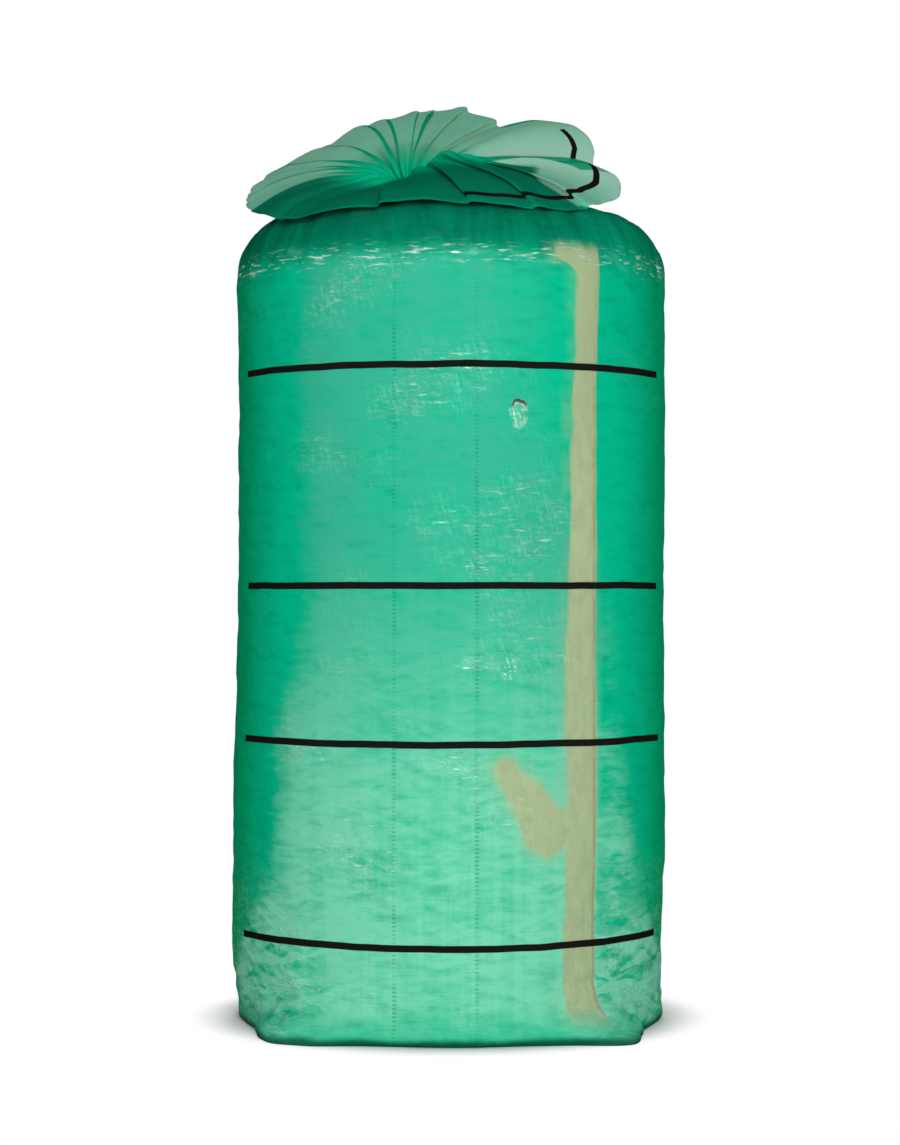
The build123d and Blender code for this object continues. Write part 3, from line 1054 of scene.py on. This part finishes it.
class ROLL_OT_bag(Operator):
    """Makes the film bag with its gathered and spread mouth"""

    bl_idname = "roll.bag"
    bl_label = "Film bag"

    def execute(self, context):
        bag = context.scene.roll_bag
        angle = column_angles()
        body, up = bag_body(bag, angle)
        mouth, share = bag_mouth(bag, angle)
        upward = -grid_normals(mouth)
        under = mouth - upward * bag.mouth_wall / 2
        over = mouth + upward * bag.mouth_wall / 2
        # The neck is tied on a slant, so there is more film above it on the right
        length = bag.mouth_length + bag.mouth_slant * np.cos(angle)
        mouth_up = up[-1] + 0.004 + share[:, None] * length[None]
        # Inside the neck the film closes in a small funnel
        funnel = []
        for shrink, drop in ((0.7, 0.002), (0.4, 0.006)):
            funnel.append(NECK_TOP + (over[0] - NECK_TOP) * shrink - np.array([0, 0, drop]))
        rings = np.concatenate([body, under, over[::-1], np.array(funnel)])
        body_up = np.repeat(up[:, None], COLUMNS, axis=1)
        along = np.concatenate([body_up, mouth_up, mouth_up[::-1], [mouth_up[0]] * len(funnel)])
        poles = (np.zeros(3), NECK_TOP - np.array([0, 0, 0.008]))
        mesh = film_mesh("film_bag", angle, rings, along, poles)
        mesh.materials.append(film_material(up[-1]))
        piece = bpy.data.objects.new("film_bag", mesh)
        context.scene.collection.objects.link(piece)
        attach(piece, "root")
        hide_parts("bag")
        return {"FINISHED"}


class ROLL_OT_tie(Operator):
    """Winds the tie round the neck"""

    bl_idname = "roll.tie"
    bl_label = "Neck tie"

    def execute(self, context):
        tie = context.scene.roll_tie
        numbers = {
            "Turns": float(tie.turns),
            "Radius": TIE_RADIUS - tie.thickness / 2,
            "Thickness": tie.thickness,
            "Rise": TIE_HIGH.z - TIE_LOW.z - tie.thickness,
            "Neck X": NECK.x,
            "Neck Y": NECK.y,
            "Foot": TIE_LOW.z + tie.thickness / 2,
        }
        twine = grown_piece("neck_twine", wound_twine, numbers, twine_material())
        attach(twine, "root")
        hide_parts("neck_tie")
        return {"FINISHED"}


class ROLL_OT_stage(Operator):
    """Sets up the camera, the soft lights and the white floor"""

    bl_idname = "roll.stage"
    bl_label = "Stage"

    def lamp(self, name, place, target, size, power):
        """A soft light at a place, turned to its target."""
        data = bpy.data.lights.new(name, "AREA")
        data.shape = "RECTANGLE"
        data.size, data.size_y = size
        data.energy = power
        lamp = bpy.data.objects.new(name, data)
        lamp.location = place
        lamp.rotation_euler = (Vector(target) - Vector(place)).to_track_quat("-Z", "Y").to_euler()
        lamp.visible_camera = False
        bpy.context.scene.collection.objects.link(lamp)

    def seen_rays(self, graph):
        """1 for the rays that show the background: straight, through clear film, or in a reflection."""
        rays = graph.node("ShaderNodeLightPath")
        return graph.most(*(rays.output(f"Is {kind} Ray") for kind in ("Camera", "Transmission", "Glossy")))

    def execute(self, context):
        stage = context.scene.roll_stage
        scene = context.scene
        data = bpy.data.cameras.new("camera")
        data.lens = stage.lens
        data.sensor_width = 36.0
        data.shift_y = stage.rise
        camera = bpy.data.objects.new("camera", data)
        camera.location = (0.0, -stage.distance, stage.height)
        camera.rotation_euler = (pi / 2, 0.0, 0.0)
        scene.collection.objects.link(camera)
        scene.camera = camera

        middle = (0.0, 0.0, 0.65)
        self.lamp("key light", (0.45, -4.6, 1.55), middle, (1.2, 1.6), stage.key)
        self.lamp("left light", (-3.2, -2.6, 1.8), middle, (0.6, 1.6), stage.side)
        self.lamp("back light", (0.3, 4.6, 1.2), middle, (1.2, 1.6), stage.back)

        half = 12.0
        mesh = bpy.data.meshes.new("floor")
        corners = [(-half, -half, 0), (half, -half, 0), (half, half, 0), (-half, half, 0)]
        mesh.from_pydata(corners, [], [(0, 1, 2, 3)])
        material, graph = new_material("floor")
        x, y, _ = graph.split(graph.node("ShaderNodeTexCoord", None, None, "Object"))
        away = graph.math("SQRT", x * x + y * y)
        seen = self.seen_rays(graph)
        matte = graph.node("ShaderNodeBsdfDiffuse", None, {"Color": (0.9, 0.9, 0.9, 1.0)})
        white = graph.node("ShaderNodeEmission", None, {"Color": (1.0, 1.0, 1.0, 1.0)})
        share = seen * graph.smooth(away, BAG_RADIUS * 0.95, BAG_RADIUS * 1.25)
        both = graph.node("ShaderNodeMixShader", None, {0: share, 1: matte, 2: white})
        graph.node("ShaderNodeOutputMaterial", None, {"Surface": both})
        mesh.materials.append(material)
        floor = bpy.data.objects.new("floor", mesh)
        scene.collection.objects.link(floor)

        world = bpy.data.worlds.new("studio")
        scene.world = world
        world.use_nodes = True
        world.node_tree.nodes.clear()
        sky = Graph(world.node_tree)
        strength = stage.fill + (1.0 - stage.fill) * self.seen_rays(sky)
        light = sky.node("ShaderNodeBackground", None, {"Color": (1, 1, 1, 1), "Strength": strength})
        sky.node("ShaderNodeOutputWorld", None, {"Surface": light})

        scene.view_settings.view_transform = "Standard"
        scene.cycles.transparent_max_bounces = 32
        return {"FINISHED"}


class ROLL_PT_panel(Panel):
    """Lists the pieces of the roll"""

    bl_idname = "ROLL_PT_panel"
    bl_label = "Insulation Roll"
    bl_space_type = "VIEW_3D"
    bl_region_type = "UI"
    bl_category = "Insulation Roll"

    def draw(self, context):
        for step in STEPS:
            self.layout.operator(step.bl_idname)


STEPS = (ROLL_OT_blanket, ROLL_OT_bag, ROLL_OT_tie, ROLL_OT_stage)
CLASSES = (*SETTINGS.values(), *STEPS, ROLL_PT_panel)


def register():
    for each in CLASSES:
        bpy.utils.register_class(each)
    for name, kind in SETTINGS.items():
        setattr(bpy.types.Scene, name, PointerProperty(type=kind))


def unregister():
    for name in SETTINGS:
        delattr(bpy.types.Scene, name)
    for each in reversed(CLASSES):
        bpy.utils.unregister_class(each)


def main():
    register()
    bpy.ops.roll.blanket()
    bpy.ops.roll.bag()
    bpy.ops.roll.tie()
    bpy.ops.roll.stage()


if __name__ == "__main__":
    main()
